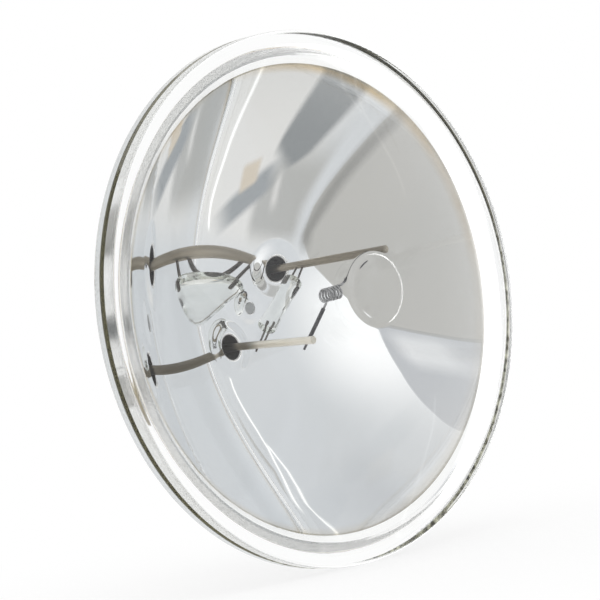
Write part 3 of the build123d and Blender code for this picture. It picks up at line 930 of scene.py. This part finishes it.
def mixed_shaders(tree, factor, first, second):
    """Surface between two shaders, by a factor."""
    mix = tree.nodes.new("ShaderNodeMixShader")
    tree.links.new(factor, mix.inputs["Fac"])
    tree.links.new(first.outputs[0], mix.inputs[1])
    tree.links.new(second.outputs[0], mix.inputs[2])
    return mix.outputs[0]


def make_world():
    """White surround: full white where it is seen, also mirrored or through glass, and softer as light."""
    world = bpy.data.worlds.new("surround")
    bpy.context.scene.world = world
    world.use_nodes = True
    tree = world.node_tree
    seen = tree.nodes["Background"]
    seen.inputs["Color"].default_value = (1, 1, 1, 1)
    seen.inputs["Strength"].default_value = 1.0
    lit = tree.nodes.new("ShaderNodeBackground")
    lit.inputs["Color"].default_value = (1, 1, 1, 1)
    lit.inputs["Strength"].default_value = SURROUND_LIGHT
    path = tree.nodes.new("ShaderNodeLightPath")
    in_view = combined(tree, "MAXIMUM", path.outputs["Is Camera Ray"], path.outputs["Is Glossy Ray"])
    in_view = combined(tree, "MAXIMUM", in_view, path.outputs["Is Transmission Ray"])
    tree.links.new(mixed_shaders(tree, in_view, lit, seen), tree.nodes["World Output"].inputs["Surface"])


def make_floor():
    """Pale floor under the rim: a disc that keeps the shadow near the lamp and fades to white."""
    turn = np.linspace(0, 2 * np.pi, FLOOR_TURN_STEPS, endpoint=False)
    reach = np.linspace(0, FLOOR_RADIUS, FLOOR_RINGS)[1:, None]
    level = CAD_BOX[0].z + 0 * reach * turn
    points = np.stack([reach * np.cos(turn), reach * np.sin(turn), level], axis=-1)
    mesh = bpy.data.meshes.new("floor")
    ring = grid_faces(len(reach), len(turn), closed_columns=True).reshape(-1, 4)
    mesh.from_pydata(points.reshape(-1, 3), [], ring.tolist() + [list(range(len(turn)))])
    floor = bpy.data.objects.new("floor", mesh)
    bpy.context.scene.collection.objects.link(floor)
    material, tree, shader = new_material("pale_floor")
    tree.nodes.remove(shader)
    matt = tree.nodes.new("ShaderNodeBsdfDiffuse")
    matt.inputs["Color"].default_value = (0.97, 0.97, 0.97, 1)
    white = tree.nodes.new("ShaderNodeEmission")
    place = tree.nodes.new("ShaderNodeTexCoord")
    length = tree.nodes.new("ShaderNodeVectorMath")
    length.operation = "LENGTH"
    tree.links.new(place.outputs["Object"], length.inputs[0])
    glow = mapped(tree, length.outputs["Value"], *FLOOR_FADE, *FLOOR_GLOW)
    tree.links.new(mixed_shaders(tree, glow, matt, white), tree.nodes["Material Output"].inputs["Surface"])
    floor.data.materials.append(material)
    floor.visible_glossy = False
    floor.visible_transmission = False


def card_sheet(name, order, one_edge, other_edge):
    """Ruled sheet of a card, at its distance: straight lines, in azimuth and elevation, from edge to edge.

    Its UV map counts along the edges and across from one to the other, both from 0 to 1.
    """
    edges = np.radians(np.array([one_edge, other_edge], float))
    corners = np.linspace(0, 1, len(one_edge))
    along = np.linspace(0, 1, CARD_DIVISIONS)
    across = np.linspace(0, 1, CARD_DIVISIONS)[:, None]
    one, other = ([np.interp(along, corners, edge[:, k]) for k in (0, 1)] for edge in edges)
    azimuth = one[0] * (1 - across) + other[0] * across
    elevation = one[1] * (1 - across) + other[1] * across
    points = (CARD_DISTANCE - CARD_STEP * order) * np.stack(
        [
            np.sin(azimuth) * np.cos(elevation),
            -np.cos(azimuth) * np.cos(elevation),
            np.sin(elevation),
        ],
        axis=-1,
    )
    mesh = bpy.data.meshes.new(name)
    faces = grid_faces(CARD_DIVISIONS, CARD_DIVISIONS).reshape(-1, 4)
    mesh.from_pydata(points.reshape(-1, 3), [], faces)
    u, v = np.broadcast_arrays(along, across)
    layer = mesh.uv_layers.new(name="card")
    spots = np.stack([u.ravel(), v.ravel()], axis=-1)[faces.ravel()]
    layer.data.foreach_set("uv", spots.ravel())
    return mesh


def card_finish(name, colour, softness, in_mirror):
    """Glow of a card, which fades out towards its borders over a share of its length and of its width.

    Rays that have not been through glass see it, and a card for the mirror is also seen by rays that have
    passed the lens both ways. Other rays do not, so that the rim keeps the white of the surround.
    """
    material, tree, shader = new_material(name)
    tree.nodes.remove(shader)
    glow = tree.nodes.new("ShaderNodeEmission")
    glow.inputs["Color"].default_value = (*colour, 1)
    clear = tree.nodes.new("ShaderNodeBsdfTransparent")
    place = tree.nodes.new("ShaderNodeUVMap")
    place.uv_map = "card"
    parts = tree.nodes.new("ShaderNodeSeparateXYZ")
    tree.links.new(place.outputs["UV"], parts.inputs[0])
    fades = []
    for axis, soft in zip(("X", "Y"), softness):
        from_border = combined(tree, "PINGPONG", parts.outputs[axis], 0.5)
        fades.append(mapped(tree, from_border, 0, soft))
    path = tree.nodes.new("ShaderNodeLightPath")
    seen = combined(tree, "LESS_THAN", path.outputs["Transmission Depth"], 0.5)
    if in_mirror:
        through = combined(tree, "GREATER_THAN", path.outputs["Transmission Depth"], LENS_PASSES - 0.5)
        seen = combined(tree, "MAXIMUM", seen, through)
    shown = combined(tree, "MULTIPLY", combined(tree, "MULTIPLY", *fades), seen)
    tree.links.new(mixed_shaders(tree, shown, clear, glow), tree.nodes["Material Output"].inputs["Surface"])
    return material


def make_card(name, order, one_edge, other_edge, colour, softness, in_mirror=True):
    """Studio card between two edges of (azimuth, elevation) points, in degrees, hidden from the camera."""
    card = bpy.data.objects.new(name, card_sheet(name, order, one_edge, other_edge))
    bpy.context.scene.collection.objects.link(card)
    card.data.materials.append(card_finish(name, colour, softness, in_mirror))
    card.visible_camera = False
    card.visible_diffuse = False
    card.visible_shadow = False


def make_soft_light():
    """One broad soft light above, for the shadow and the metal outside. It is not seen through the lens."""
    data = bpy.data.lights.new("overhead_soft_light", "AREA")
    data.shape = "DISK"
    data.size = LIGHT_SIZE
    data.energy = LIGHT_POWER
    light = bpy.data.objects.new("overhead_soft_light", data)
    light.location = LIGHT_PLACE
    light.rotation_mode = "QUATERNION"
    light.rotation_quaternion = Vector(LIGHT_PLACE).to_track_quat("Z", "Y")
    light.visible_transmission = False
    bpy.context.scene.collection.objects.link(light)


bpy.context.scene.view_settings.view_transform = "Standard"
bpy.context.scene.cycles.max_bounces = GLASS_BOUNCES
bpy.context.scene.cycles.glossy_bounces = GLASS_BOUNCES
bpy.context.scene.cycles.transmission_bounces = GLASS_BOUNCES
MOTTLE = make_mottle_group()
PLACE = make_place_group()

make_envelope(make_glass())
make_film(make_mirror())
make_bead(make_bead_glass())
wire_metal = make_metal("bridge_wire", (0.22, 0.20, 0.18), (0.10, 0.09, 0.08), (0.3, 0.5), (900, 900, 900))
make_bridge_wires(wire_metal)

# The upper post is darker and browner than the lower one
post_metal = make_metal("darker_brown_post", (0.52, 0.46, 0.37), (0.28, 0.24, 0.18), (0.25, 0.4), POST_GRAIN)
strap_metal = make_metal("plated_brass", (0.75, 0.70, 0.58), (0.62, 0.57, 0.46), (0.25, 0.4), (60, 500, 60))
screw_metal = make_metal(
    "plated_screw", (0.74, 0.72, 0.68), (0.60, 0.58, 0.54), (0.22, 0.36), (500, 500, 500)
)

# The finish of each node by the start of its name, the longer start first
finishes = {
    "filament": make_tungsten(),
    "lead_post_upper": post_metal,
    "lead_post_lower": make_lower_post(),
    "ferrule": make_ferrule_metal(),
    "terminal_washer": screw_metal,
    "terminal_screw": screw_metal,
    "terminal": strap_metal,
}
for node_name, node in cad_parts.items():
    finish = next((metal for start, metal in finishes.items() if node_name.startswith(start)), None)
    if finish:
        node.data.materials.clear()
        node.data.materials.append(finish)

make_camera()
make_world()
make_floor()
make_soft_light()

# The studio's walls and lights as the mirror shows them, the nearest last
cards = (
    ("far_wall", [(-62, -76), (-62, 76)], [(112, -76), (112, 76)], (0.675, 0.695, 0.715), (0.02, 0.02)),
    ("low_wall", [(14, -62), (14, -10)], [(95, -62), (95, -10)], (0.79, 0.78, 0.76), (0.25, 0.25)),
    ("dim_top", [(14, 42), (14, 74)], [(104, 34), (104, 74)], (0.50, 0.52, 0.54), (0.4, 0.35)),
    ("soft_box", [(-44, -30), (-44, 50)], [(32, -30), (32, 50)], (1.16, 1.16, 1.16), (0.4, 0.5)),
    (
        "grey_wedge",
        [(-46, 10), (-46, 30), (-46, 42), (-46, 60)],
        [(-9, 10), (-8.5, 28), (-6.5, 40), (-1, 52)],
        (0.535, 0.55, 0.575),
        (0.01, 0.012),
    ),
    ("pale_wedge", [(-26, 18), (-23, 32)], [(-8, 11), (-11, 29)], (0.82, 0.83, 0.84), (0.4, 0.35)),
    (
        "grey_panel",
        [(-46, high) for high in (26, 18, 8, -5, -12, -21, -31, -44, -62)],
        [(-28, 21), (-9.5, 12), (-5, 5), (5, -7), (11, -13), (15.5, -21), (14.5, -31), (7, -44), (-3, -62)],
        (0.505, 0.495, 0.47),
        (0.012, 0.012),
    ),
    (
        "panel_line",
        [(-30, 22.4), (-9.8, 12.8)],
        [(-30, 21), (-10.5, 11.6)],
        (0.42, 0.42, 0.41),
        (0.03, 0.4),
    ),
    (
        "panel_shade",
        [(9, -14), (10, -22), (5, -30), (2, -36), (-3, -44), (-8, -54)],
        [(17, -14), (18, -22), (16, -30), (14, -36), (10, -44), (5, -54)],
        (0.29, 0.285, 0.27),
        (0.2, 0.5),
    ),
    (
        "warm_field",
        [(16, -17), (16, -30), (12, -50)],
        [(46, -17), (48, -30), (40, -46)],
        (0.46, 0.46, 0.445),
        (0.3, 0.2),
    ),
    ("pale_fold", [(30, -28), (36, -40)], [(36, -26), (41, -38)], (0.70, 0.69, 0.67), (0.4, 0.5)),
    (
        "slate_patch",
        [(11, -70), (19, -50), (26, -42), (36, -37)],
        [(52, -70), (51, -52), (49.5, -45), (47.5, -38)],
        (0.235, 0.25, 0.26),
        (0.2, 0.18),
    ),
    (
        "slate_band",
        [(35, -35), (42, -29), (51, -23), (62, -16)],
        [(40, -42), (48, -37), (57.5, -29.5), (70, -19)],
        (0.31, 0.33, 0.345),
        (0.3, 0.3),
    ),
    ("tan_patch", [(47, -33), (51, -38)], [(56, -27), (61, -33)], (0.66, 0.58, 0.47), (0.25, 0.25)),
    (
        "upper_gleam",
        [(62.2, 12.5), (64.4, 17.5), (65.1, 22.4), (65.6, 25.8)]
        + [(67.6, 29.8), (72.5, 32.4), (77, 33), (79.2, 34)],
        [(64, 12.5), (66.2, 17.5), (67, 22.4), (67.5, 25.6)]
        + [(69.1, 28.6), (73.1, 31), (77.5, 31.6), (79.6, 32.4)],
        GLEAM,
        (0.1, 0.5),
    ),
    (
        "inner_gleam",
        [(66.3, 28), (66.5, 30.4), (67.5, 33.8), (70.8, 35.3)]
        + [(74, 35.7), (74.1, 36.3), (73.2, 37.4), (72.6, 38.4)],
        [(68, 28), (68.2, 29.9), (69.2, 32.4), (71.5, 33.7)]
        + [(75.2, 34.3), (75.7, 36.3), (74.9, 37.9), (74.2, 38.9)],
        GLEAM,
        (0.1, 0.5),
    ),
    (
        "gleam_shade",
        [(69.6, 19), (72.2, 26.4), (73.4, 30.3), (78.7, 32)],
        [(71.2, 19), (74, 26.2), (75.2, 29.6), (79.2, 31)],
        (0.46, 0.45, 0.42),
        (0.2, 0.5),
    ),
    (
        "lower_gleam",
        [(65.5, -17), (68.5, -22), (70, -29), (74.5, -37), (81, -42)],
        [(68, -17), (71, -22), (72.5, -28), (77, -35), (83, -39)],
        GLEAM,
        (0.1, 0.5),
    ),
)
for order, (card_name, one_edge, other_edge, colour, softness) in enumerate(cards):
    make_card(card_name, order, one_edge, other_edge, colour, softness)
make_card(
    "button_shine",
    len(cards),
    [(60, -56), (82, -42), (88, -20), (88, 0), (88, 20), (67, 43), (44, 53), (15, 52)],
    [(72, -66), (101, -46), (104, -20), (104, 0), (104, 22), (86, 54), (44, 68), (15, 68)],
    (6.0, 6.0, 6.0),
    (0.08, 0.25),
    in_mirror=False,
)
